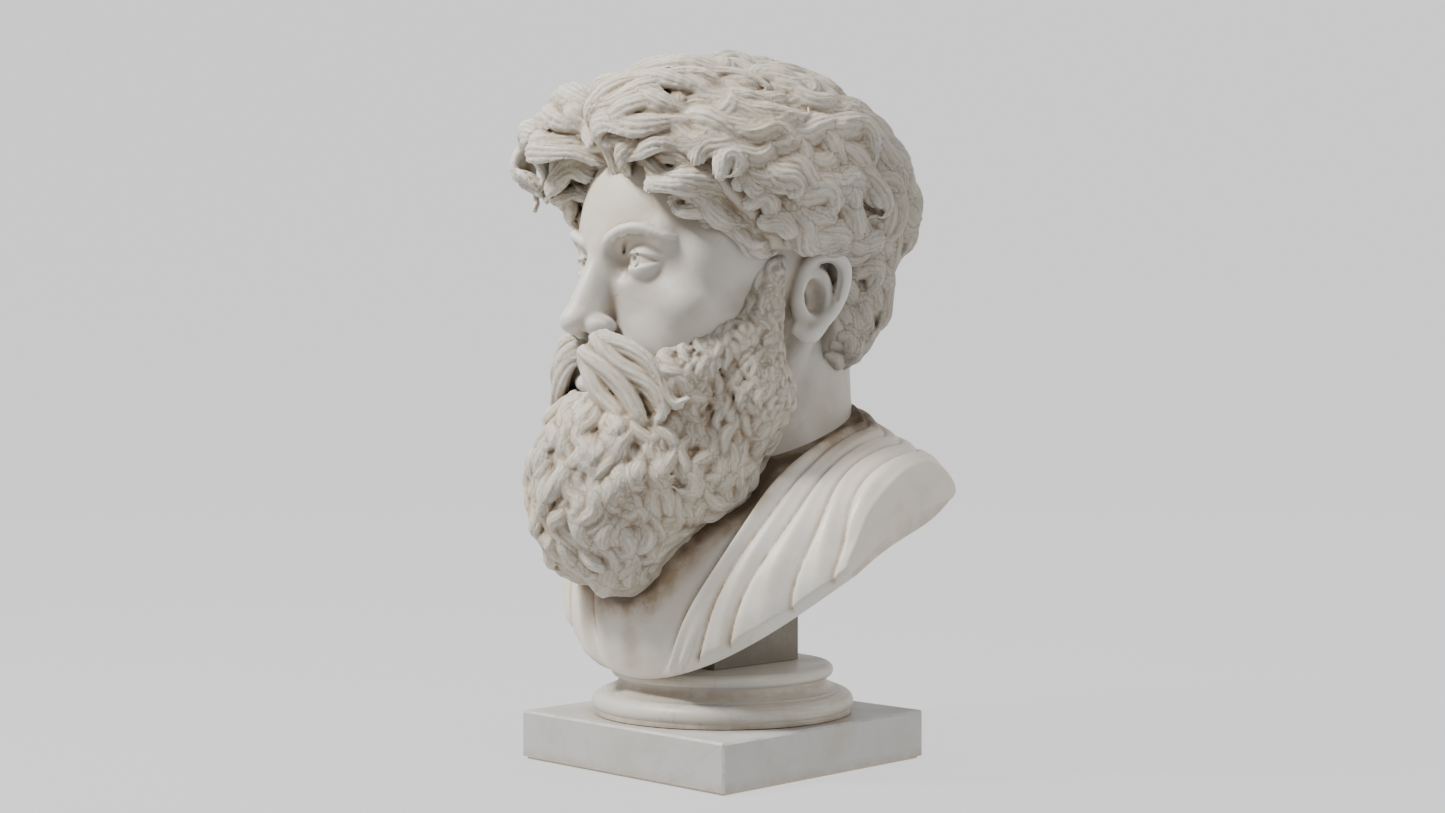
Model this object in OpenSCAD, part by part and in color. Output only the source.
// Bearded marble bust on a turned socle and a square plinth.
// Origin: centre of the underside. +Z is up, the bust faces -Y, +X is the sitter's left. Millimetres.

/* [Plinth] */
// Side of the square plinth
plinth_side = 200; // [190:1:230]
// Height of the plinth's top face above the table
plinth_top = 34; // [32:1:40]
// Thickness of the felt sheet under the plinth
felt_thick = 2; // [1:0.5:3]
// Chamfer along the plinth's top and upright edges
plinth_chamfer = 1.5; // [0.5:0.5:3]

/* [Socle] */
// Outer radius of the large lower torus
lower_torus_r = 92; // [88:1:96]
// Outer radius of the small upper torus
upper_torus_r = 78; // [74:1:80]
// Height of the turned socle
socle_height = 34; // [32:1:38]

/* [Support block] */
// Width of the support block, along X
block_w = 60; // [50:1:64]
// Depth of the support block, along Y
block_d = 84; // [70:1:88]
// Height at which the chest sits on the block
seat_z = 120; // [118:1:124]

/* [Chest] */
// Distance between the two cut shoulders
shoulder_w = 280; // [270:1:290]
// Height of the drapery folds
fold_depth = 4.5; // [0:0.5:6]

/* [Head] */
// Angle by which the head turns towards the sitter's right
head_turn = 10; // [0:1:15]
// Height of the curls in the hair and beard
curl_depth = 4.5; // [0:0.5:6]

/* [Hidden] */

MARBLE = [0.84, 0.82, 0.78];
BLOCK_MARBLE = [0.70, 0.68, 0.64];
STEEL = [0.62, 0.63, 0.65];
BRONZE = [0.72, 0.52, 0.30];
LEAD = [0.45, 0.46, 0.48];
FELT = [0.66, 0.58, 0.45];
GROUT = [0.80, 0.76, 0.68];

// Fixings, from the nuts up
rod_r = 6;
rod_bottom = 3;
rod_top = 172;
recess_r = 28;
recess_z = 21;
nut_h = 5.9;
nut_af = 19;
bedding_thick = 0.6;
socle_z = plinth_top + bedding_thick;
socle_top = plinth_top + socle_height;
washer_r = 25.5;
washer_sink = 1;
washer_thick = 1.4;
block_z = socle_top - washer_sink + washer_thick;
block_y = 4;
bush_r = 9;
bush_bore_r = rod_r + 0.05;
plinth_bore_r = rod_r + 1;
grout_r = 8;
grout_z = 78;
pin_r = 4;
pin_x = 55;
socle_pin_len = 24;
block_pin_x = 19;
block_pin_len = 30;

// Neck joint
neck_y = 46;
neck_r = 58;
neck_foot_z = 198;
tenon_r = 34;
seam = 0.3;
socket_z = 184;
dowel_r = 5;
dowel_z = 185;
dowel_len = 55;

// Chest sections: each is a closed curve in Y and Z, blended from the middle to the cut shoulder.
// The first eleven points run over the outside from the front rim to the back rim, the rest along the hollow.
MID = [[-84, 65], [-89, 86], [-86, 118], [-73, 152], [-46, 188], [-6, 218], [40, 238], [84, 240],
       [110, 216], [114, 172], [106, 144], [94, 150], [88, 168], [58, 166], [20, 158], [-16, 140],
       [-46, 114], [-66, 90], [-76, 72]];
END = [[-23, 139], [-20, 147], [-11, 160], [2, 178], [18, 191], [36, 201], [54, 205], [70, 203],
       [80, 197], [84, 190], [80, 184], [72, 178], [62, 172], [48, 166], [34, 161], [18, 155],
       [4, 149], [-8, 143], [-18, 138]];
BACK_RIM = 10;
curve_steps = 4;
slices = 56;

// Grooves between the folds, as shares of the mantle's width: at the front rim and over the shoulder
GROOVES = [[0, 0], [0.22, 0.2], [0.42, 0.4], [0.76, 0.58], [0.96, 0.78], [1.15, 1.1]];

// Hair and beard rows: height, middle in Y, half depth and half width
HAIR = [[264, 56, 24, 30], [276, 54, 44, 48], [296, 52, 60, 66], [320, 46, 72, 78], [342, 14, 106, 92],
        [366, 7, 118, 102], [392, 2, 123, 108], [420, -1, 118, 104], [446, -2, 104, 93], [468, -2, 84, 77],
        [484, 0, 58, 54], [494, 2, 32, 30], [499, 2, 8, 8]];
BEARD = [[124, -95, 8, 10], [130, -95, 26, 26], [142, -95, 38, 40], [160, -94, 47, 51], [182, -93, 52, 59],
         [206, -86, 56, 64], [230, -74, 58, 72], [252, -62, 56, 77], [272, -52, 54, 79], [284, -46, 48, 76]];

function smooth(t) = t * t * (3 - 2 * t);
function spline(a, b, c, d, t) = 0.5 * ((2 * b) + (c - a) * t + (2 * a - 5 * b + 4 * c - d) * t * t
                                        + (3 * b - a - 3 * c + d) * t * t * t);
function closed_curve(p, steps) = [for (i = [0:len(p) - 1]) for (k = [0:steps - 1])
    spline(p[(i + len(p) - 1) % len(p)], p[i], p[(i + 1) % len(p)], p[(i + 2) % len(p)], k / steps)];

// Closes a stack of equal rings into a solid, with a flat cap at each end
module rings_solid(rings) {
    n = len(rings[0]);
    m = len(rings);
    points = [for (r = rings) for (p = r) p];
    sides = [for (i = [0:m - 2]) for (j = [0:n - 1]) let (k = (j + 1) % n)
        each [[i * n + j, (i + 1) * n + k, i * n + k], [i * n + j, (i + 1) * n + j, (i + 1) * n + k]]];
    caps = [[for (j = [0:n - 1]) j], [for (j = [n - 1:-1:0]) (m - 1) * n + j]];
    polyhedron(points, concat(sides, caps));
}

module at_both(x) {
    for (s = [-1, 1]) translate([s * x, 0, 0]) children();
}

module turned() {
    rotate([0, 0, -head_turn]) children();
}

module ball(p, r, fn = 14) {
    translate(p) sphere(r, $fn = fn);
}

// A round cord of balls, joined one by one
module strand(points, radii) {
    for (i = [0:len(points) - 2]) hull() {
        ball(points[i], radii[i], 10);
        ball(points[i + 1], radii[i + 1], 10);
    }
}

// ---------------------------------------------------------------- base

module base_felt() {
    color(FELT) translate([-plinth_side / 2 + 3, -plinth_side / 2 + 3, 0])
        cube([plinth_side - 6, plinth_side - 6, felt_thick]);
}

module plinth() {
    h = plinth_top - felt_thick;
    c = plinth_chamfer;
    s = plinth_side / 2;
    color(MARBLE) difference() {
        translate([0, 0, felt_thick]) linear_extrude(h)
            polygon([[-s + c, -s], [s - c, -s], [s, -s + c], [s, s - c], [s - c, s], [-s + c, s],
                     [-s, s - c], [-s, -s + c]]);
        for (a = [0:90:270]) rotate([0, 0, a]) translate([s, 0, plinth_top]) rotate([0, 45, 0])
            cube([c * sqrt(2), plinth_side + 2, c * sqrt(2)], center = true);
        translate([0, 0, felt_thick - 1]) cylinder(r = recess_r, h = recess_z - felt_thick + 1, $fn = 64);
        translate([0, 0, recess_z - 1]) cylinder(r = plinth_bore_r, h = plinth_top, $fn = 48);
        at_both(pin_x) translate([0, 0, plinth_top - socle_pin_len / 2]) cylinder(r = pin_r, h = 30, $fn = 32);
    }
}

module plinth_bedding() {
    color(LEAD) difference() {
        translate([0, 0, plinth_top]) cylinder(r = lower_torus_r - 12, h = bedding_thick, $fn = 96);
        translate([0, 0, plinth_top - 1]) cylinder(r = bush_r, h = 3, $fn = 48);
        at_both(pin_x) translate([0, 0, plinth_top - 1]) cylinder(r = pin_r, h = 3, $fn = 32);
    }
}

module socle_pins() {
    color(STEEL) at_both(pin_x) translate([0, 0, plinth_top - socle_pin_len / 2])
        cylinder(r = pin_r, h = socle_pin_len, $fn = 32);
}

// Large torus on a plain foot, fillet, hollow and small torus, with the bore for the bush and the washer's seat
module socle() {
    big = (socle_height - bedding_thick) * 0.22;
    small = (socle_height - bedding_thick) * 0.13;
    big_z = socle_z + big;
    small_z = socle_top - small;
    neck = upper_torus_r - 5;
    hollow_r = 8;
    hollow_z = socle_z + 2 * big + 1.6;
    color(MARBLE) difference() {
        rotate_extrude($fn = 128) intersection() {
            union() {
                translate([0, socle_z]) square([lower_torus_r - 1.2, big]);
                translate([0, socle_z]) square([lower_torus_r - big, 2 * big]);
                translate([lower_torus_r - big, big_z]) circle(big, $fn = 64);
                difference() {
                    translate([0, big_z]) square([neck + hollow_r + 0.8, small_z - big_z]);
                    translate([neck + hollow_r, hollow_z + hollow_r]) circle(hollow_r, $fn = 64);
                    translate([neck + hollow_r, hollow_z]) square([hollow_r, 2 * hollow_r]);
                    translate([neck, hollow_z + hollow_r]) square([2 * hollow_r, hollow_r]);
                }
                translate([0, small_z - small]) square([upper_torus_r - small, 2 * small]);
                translate([upper_torus_r - small, small_z]) circle(small, $fn = 64);
            }
            translate([0, socle_z]) square([lower_torus_r + 1, socle_height]);
        }
        translate([0, 0, socle_z - 1]) cylinder(r = bush_r, h = socle_height + 2, $fn = 64);
        translate([0, 0, socle_top - washer_sink]) cylinder(r = washer_r + 0.5, h = 3, $fn = 64);
        at_both(pin_x) translate([0, 0, socle_z - 1]) cylinder(r = pin_r, h = 1 + socle_pin_len / 2, $fn = 32);
    }
}

module rod_bush() {
    color(BRONZE) difference() {
        translate([0, 0, socle_z]) cylinder(r = bush_r, h = socle_height - bedding_thick - washer_sink, $fn = 64);
        translate([0, 0, socle_z - 1]) cylinder(r = bush_bore_r, h = socle_height + 2, $fn = 64);
    }
}

module ring(r_in, r_out, z, h) {
    difference() {
        translate([0, 0, z]) cylinder(r = r_out, h = h, $fn = 64);
        translate([0, 0, z - 1]) cylinder(r = r_in, h = h + 2, $fn = 64);
    }
}

module friction_washer() {
    color("ivory") ring(rod_r + 1, 24, recess_z - 1, 1);
}

// ---------------------------------------------------------------- fixings that turn with the bust

module thrust_washer() {
    color(BRONZE) ring(rod_r + 0.5, washer_r, socle_top - washer_sink + 0.1, washer_thick - 0.1);
}

module centre_rod() {
    color(STEEL) translate([0, 0, rod_bottom]) cylinder(r = rod_r, h = rod_top - rod_bottom, $fn = 48);
}

module lock_nuts() {
    color(STEEL) for (i = [0, 1]) translate([0, 0, rod_bottom + 0.4 + i * (nut_h + 0.2)]) difference() {
        cylinder(r = nut_af / sqrt(3), h = nut_h, $fn = 6);
        translate([0, 0, -1]) cylinder(r = rod_r, h = nut_h + 2, $fn = 48);
    }
}

module spring_washer() {
    z = rod_bottom + 0.4 + 2 * nut_h + 0.2;
    color(STEEL) rotate_extrude($fn = 64)
        polygon([[rod_r + 0.3, z], [rod_r + 2, z], [15, z + 1], [15, z + 2.1], [13.4, z + 2.1],
                 [rod_r + 0.3, z + 1.2]]);
}

module plate_washer() {
    z = rod_bottom + 0.4 + 2 * nut_h + 0.2 + 2.1;
    color(STEEL) ring(rod_r + 0.3, 24, z, recess_z - 1.2 - z);
}

module rod_grout() {
    color(GROUT) ring(rod_r, grout_r, grout_z, rod_top - grout_z);
}

module support_block() {
    color(BLOCK_MARBLE) difference() {
        translate([-block_w / 2, block_y - block_d / 2, block_z]) cube([block_w, block_d, seat_z - block_z]);
        translate([0, 0, block_z - 1]) cylinder(r = rod_r, h = grout_z - block_z + 2, $fn = 48);
        translate([0, 0, grout_z]) cylinder(r = grout_r, h = 100, $fn = 48);
        at_both(block_pin_x) translate([0, 32, seat_z - block_pin_len / 2]) cylinder(r = pin_r, h = 30, $fn = 32);
    }
}

module block_pins() {
    color(STEEL) at_both(block_pin_x) translate([0, 32, seat_z - block_pin_len / 2])
        cylinder(r = pin_r, h = block_pin_len, $fn = 32);
}

// ---------------------------------------------------------------- chest

// The mantle covers both shoulders and leaves the middle of the chest bare. s runs along a section, from 0
// at the front rim to 10 at the back rim.
function share(t) = smooth(min(1, max(0, t)));
function mantle_edge(s) = s < 6.2 ? 21 + 54 * (1 - pow(max(0, 1 - s / 5.2), 2)) : 75 - 110 * share((s - 6.2) / 1.8);

// Long folds fan out from the shoulder to the rim: broad round lobes between narrow grooves
function groove(i, s) = let (t = share(s / 5))
    GROOVES[i][0] * (1 - t) + GROOVES[i][1] * t + (i > 0 ? 0.02 * sin(97 * s + 60 * i) : 0);
function lobe(q, s) = max([for (i = [0:len(GROOVES) - 2]) let (a = groove(i, s), c = (q - a) / (groove(i + 1, s) - a))
    c > 0 && c < 1 ? sqrt(4 * c * (1 - c)) : 0]);

function drape(x, s) = let (edge = mantle_edge(s), over = abs(x) - edge, q = over / (shoulder_w / 2 - edge),
    roll = 4 * exp(-pow((over - 6) / 5, 2)) * share(s / 1.5),
    fade = share((over - 2) / 9) * (1 - 0.6 * share((s - 6) / 2)))
    share(over / 4) * (2.5 + roll + fold_depth * fade * lobe(q, s));

// Share of the mantle's height at each point of a section: full outside, none along the rims and the hollow
function outside(s) = s < 0.5 ? 2 * s : s < 9 ? 1 : max(0, 10 - s);

function chest_section(x, count, gap) = let (half = shoulder_w / 2, t = pow(abs(x) / half, 2), n = len(MID),
    base = closed_curve([for (i = [0:n - 1]) MID[i] * (1 - t) + END[i] * t], curve_steps), m = len(base))
    [for (j = [0:count - 1]) let (s = j / curve_steps, p = base[j], d = base[(j + 1) % m] - base[(j + m - 1) % m],
        out = [-d[1], d[0]] / max(0.001, norm(d)), h = gap + outside(s) * drape(x, min(s, 10)))
        [x, p[0] + out[0] * h, p[1] + out[1] * h]];

module chest_form() {
    half = shoulder_w / 2;
    rings_solid([for (i = [0:slices]) chest_section(half - 2 * half * i / slices, len(MID) * curve_steps, 0)]);
}

// All that lies under the chest's outside, a seam's width larger: the head is cut back to it
module chest_room() {
    half = shoulder_w / 2;
    rings_solid([for (i = [0:slices]) chest_section(half - 2 * half * i / slices, BACK_RIM * curve_steps + 1, seam)]);
}

// Rib left standing inside the hollow, where the support block carries the chest
module chest_rib() {
    translate([-block_w / 2, block_y - block_d / 2, seat_z]) cube([block_w, block_d, 60]);
}

module chest() {
    color(MARBLE) difference() {
        union() {
            chest_form();
            chest_rib();
        }
        translate([0, 0, seat_z - 1]) cylinder(r = grout_r + 0.15, h = rod_top - seat_z + 1.2, $fn = 40);
        at_both(block_pin_x) translate([0, 32, seat_z - 1])
            cylinder(r = pin_r + 0.1, h = 1.2 + block_pin_len / 2, $fn = 24);
        translate([0, neck_y, socket_z]) cylinder(r = tenon_r + 0.6, h = 80, $fn = 48);
        translate([0, neck_y, neck_foot_z - seam]) cylinder(r = neck_r + seam, h = 80, $fn = 64);
        cylinder(r = upper_torus_r + 1.5, h = socle_top + 1, $fn = 96);
    }
}

module neck_bedding() {
    color(GROUT) translate([0, neck_y, 0]) ring(dowel_r + 0.5, tenon_r - 1, socket_z, 1);
}

module neck_dowel() {
    color(STEEL) translate([0, neck_y, dowel_z]) cylinder(r = dowel_r, h = dowel_len, $fn = 32);
}

// ---------------------------------------------------------------- head

function curl(a, z) = curl_depth * (sin(a * 8 + z * 5) * sin(z * 9 - a * 3) + 0.5 * sin(a * 11 - z * 7));

// Cosine or sine of a ring whose plan is squarer than an ellipse
function squarer(c) = sign(c) * pow(abs(c), 0.84);

// A mass of curls as a stack of level rings, smoothed between the rows of a table
module curly_mass(rows, levels, steps, depth) {
    n = len(rows);
    rings_solid([for (i = [levels:-1:0]) let (t = i / levels * (n - 1.001), k = floor(t), f = t - k,
        row = spline(rows[max(0, k - 1)], rows[k], rows[k + 1], rows[min(n - 1, k + 2)], f))
        [for (j = [0:steps - 1]) let (a = -j * 360 / steps, b = curl(a, row[0]) * min(1, row[2] / 40) * depth)
            [(row[3] + b) * squarer(cos(a)), row[1] + (row[2] + b) * squarer(sin(a)), row[0]]]]);
}

// What the hair leaves free: the face, the temples and the ears
module face_opening() {
    hull() {
        translate([0, -130, 386]) scale([60, 52, 36]) sphere(1, $fn = 28);
        translate([0, -132, 320]) scale([84, 84, 60]) sphere(1, $fn = 28);
        translate([0, -128, 240]) scale([90, 80, 40]) sphere(1, $fn = 28);
    }
    at_both(108) translate([0, 2, 314]) scale([30, 26, 36]) sphere(1, $fn = 28);
}

module skull() {
    translate([0, 2, 366]) scale([84, 108, 96]) sphere(1, $fn = 48);
    hull() {
        ball([0, -84, 236], 22, 24);
        at_both(50) ball([0, -26, 264], 16, 24);
        at_both(44) ball([0, -62, 320], 24, 24);
        at_both(60) ball([0, -20, 330], 20, 24);
        at_both(36) ball([0, -74, 364], 24, 24);
    }
}

module neck() {
    translate([0, neck_y, neck_foot_z]) cylinder(r = neck_r, h = 45, $fn = 64);
    hull() {
        translate([0, neck_y, neck_foot_z + 40]) cylinder(r = neck_r, h = 5, $fn = 64);
        translate([0, neck_y - 12, 300]) cylinder(r = 46, h = 1, $fn = 64);
    }
}

module nose() {
    hull() {
        ball([0, -101, 354], 7);
        ball([0, -118, 326], 8);
        ball([0, -126, 306], 10);
        at_both(13) ball([0, -110, 302], 8);
    }
}

module eyes_and_brows() {
    at_both(35) ball([0, -84, 342], 15);
    for (s = [-1, 1]) {
        strand([[s * 12, -100, 358], [s * 32, -100, 364], [s * 56, -82, 360]], [5, 5.5, 4]);
        strand([[s * 19, -94, 341], [s * 35, -98, 350], [s * 53, -84, 341]], [3, 3, 3]);
        strand([[s * 19, -94, 341], [s * 35, -96, 333], [s * 53, -84, 341]], [3, 3, 3]);
    }
}

module lips_and_moustache() {
    strand([[-16, -108, 271], [0, -114, 269], [16, -108, 271]], [5, 7, 5]);
    for (s = [-1, 1])
        strand([[s * 6, -112, 289], [s * 20, -109, 282], [s * 37, -97, 265], [s * 47, -91, 243]],
            [9, 13, 13, 6]);
}

module ears() {
    for (s = [-1, 1]) translate([s * 86, 10, 324]) rotate([-10, 0, s * 20]) {
        strand([for (a = [-100:40:140]) [s * 4, 18 * cos(a) * (a < 0 ? 1 : 1.05), 30 * sin(a)]],
            [for (a = [-100:40:140]) 6]);
        translate([-s * 8, 2, 0]) scale([14, 17, 30]) sphere(1, $fn = 20);
    }
}

module whiskers() {
    for (s = [-1, 1])
        strand([[s * 54, -40, 272], [s * 60, -30, 296], [s * 66, -22, 320], [s * 74, -14, 344]],
            [26, 23, 18, 11]);
}

// Heavy locks that hang over the forehead, on both sides of the parting
module forelocks() {
    strand([[-2, -84, 436], [26, -98, 446], [60, -94, 446], [90, -62, 432], [102, -26, 412]],
        [10, 19, 19, 17, 9]);
    strand([[22, -84, 414], [48, -92, 422], [76, -78, 414], [96, -44, 396], [102, -10, 378]],
        [9, 16, 16, 14, 7]);
    strand([[2, -84, 434], [-30, -98, 444], [-64, -94, 444], [-92, -62, 430], [-102, -26, 408]],
        [10, 18, 19, 16, 9]);
    strand([[-26, -84, 410], [-58, -86, 412], [-84, -62, 396], [-98, -26, 374]], [9, 15, 14, 8]);
    strand([[-56, -94, 436], [-86, -100, 434], [-108, -92, 420], [-98, -92, 402]], [14, 14, 10, 6]);
}

module tenon() {
    translate([0, neck_y, socket_z + 1]) cylinder(r = tenon_r, h = 40, $fn = 48);
}

module head_form() {
    turned() {
        skull();
        nose();
        eyes_and_brows();
        lips_and_moustache();
        ears();
        whiskers();
        forelocks();
        curly_mass(BEARD, 20, 44, 1);
        difference() {
            curly_mass(HAIR, 28, 56, 1.3);
            face_opening();
        }
    }
    neck();
}

// The beard lies on the chest, so the head is cut back to the chest's outside except in the neck's socket
module head() {
    color(MARBLE) difference() {
        union() {
            difference() {
                head_form();
                difference() {
                    chest_room();
                    translate([0, neck_y, 0]) cylinder(r = neck_r + 0.05, h = 300, $fn = 64);
                }
                translate([0, neck_y, 0]) cylinder(r = neck_r + 1, h = neck_foot_z, $fn = 64);
            }
            tenon();
        }
        translate([0, neck_y, socket_z])
            cylinder(r = dowel_r + 0.1, h = dowel_z + dowel_len - socket_z + 0.3, $fn = 24);
    }
}

base_felt();
plinth();
plinth_bedding();
socle_pins();
socle();
rod_bush();
friction_washer();
thrust_washer();
centre_rod();
lock_nuts();
spring_washer();
plate_washer();
rod_grout();
support_block();
block_pins();
chest();
neck_bedding();
neck_dowel();
head();
